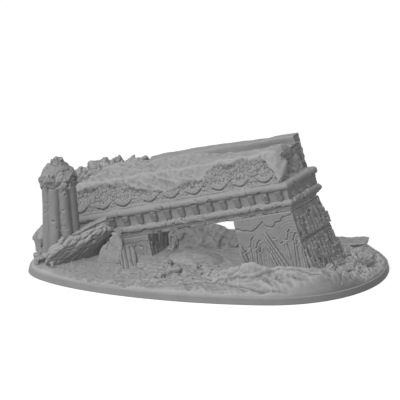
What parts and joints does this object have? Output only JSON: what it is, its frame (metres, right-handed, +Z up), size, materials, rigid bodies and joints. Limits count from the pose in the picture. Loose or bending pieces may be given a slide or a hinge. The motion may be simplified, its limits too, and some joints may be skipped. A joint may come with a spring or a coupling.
{
  "type": "miniature terrain ruin",
  "caption": "Tabletop terrain piece: a temple front with carved piers, a roll-moulded lintel and a broken column, sinking into sand on an oval plinth.",
  "frame": {"origin": "middle of the plinth's flat underside", "axes": "+X along the plinth's long side towards the temple's carved end, +Y away from the temple's front, +Z up"},
  "size_m": [0.1811, 0.117, 0.071],
  "materials": {
    "plinth": "fine matte grey resin, smooth, with faint print layers on its edge",
    "sand": "matte grey resin, smooth wind-blown drifts with soft ripples and grains",
    "masonry": "matte grey resin, dressed stone worn at its edges, with chips and pits",
    "carved_masonry": "matte grey resin, stone relief with reeds, blossoms and scales",
    "rock": "matte grey resin, broken stone with facets, cracks and rough pits"
  },
  "bodies": {
    "root": {"base_plinth": "plinth", "ground_sand": "sand", "front_sand_bank": "sand", "doorway_mound": "sand", "end_sand_bank": "sand", "roof_sand_drift": "sand", "left_pier": "masonry", "right_pier_upper_course": "masonry", "right_pier_lower_course": "masonry", "bed_slab": "masonry", "architrave": "masonry", "lower_torus": "masonry", "upper_torus": "masonry", "dentils": "masonry", "roof_block": "masonry", "column_shaft": "masonry", "left_pier_front_relief": "carved_masonry", "right_pier_front_relief": "carved_masonry", "end_wall_upper_relief": "carved_masonry", "end_wall_lower_relief": "carved_masonry", "parapet_relief": "carved_masonry", "carved_fragment": "carved_masonry", "ridge_slab": "rock", "ridge_stones": "rock", "column_broken_crown": "rock", "fallen_slab": "rock", "fallen_slab_upper_layer": "rock", "leaning_block": "rock", "boulder_right": "rock", "ledge_rock": "rock", "ledge_rock_stand": "rock", "rear_left_rock": "rock", "end_wall_rubble": "rock", "front_rubble": "rock", "column_foot_rubble": "rock", "rear_rock_bank": "rock"}
  },
  "joints": []
}
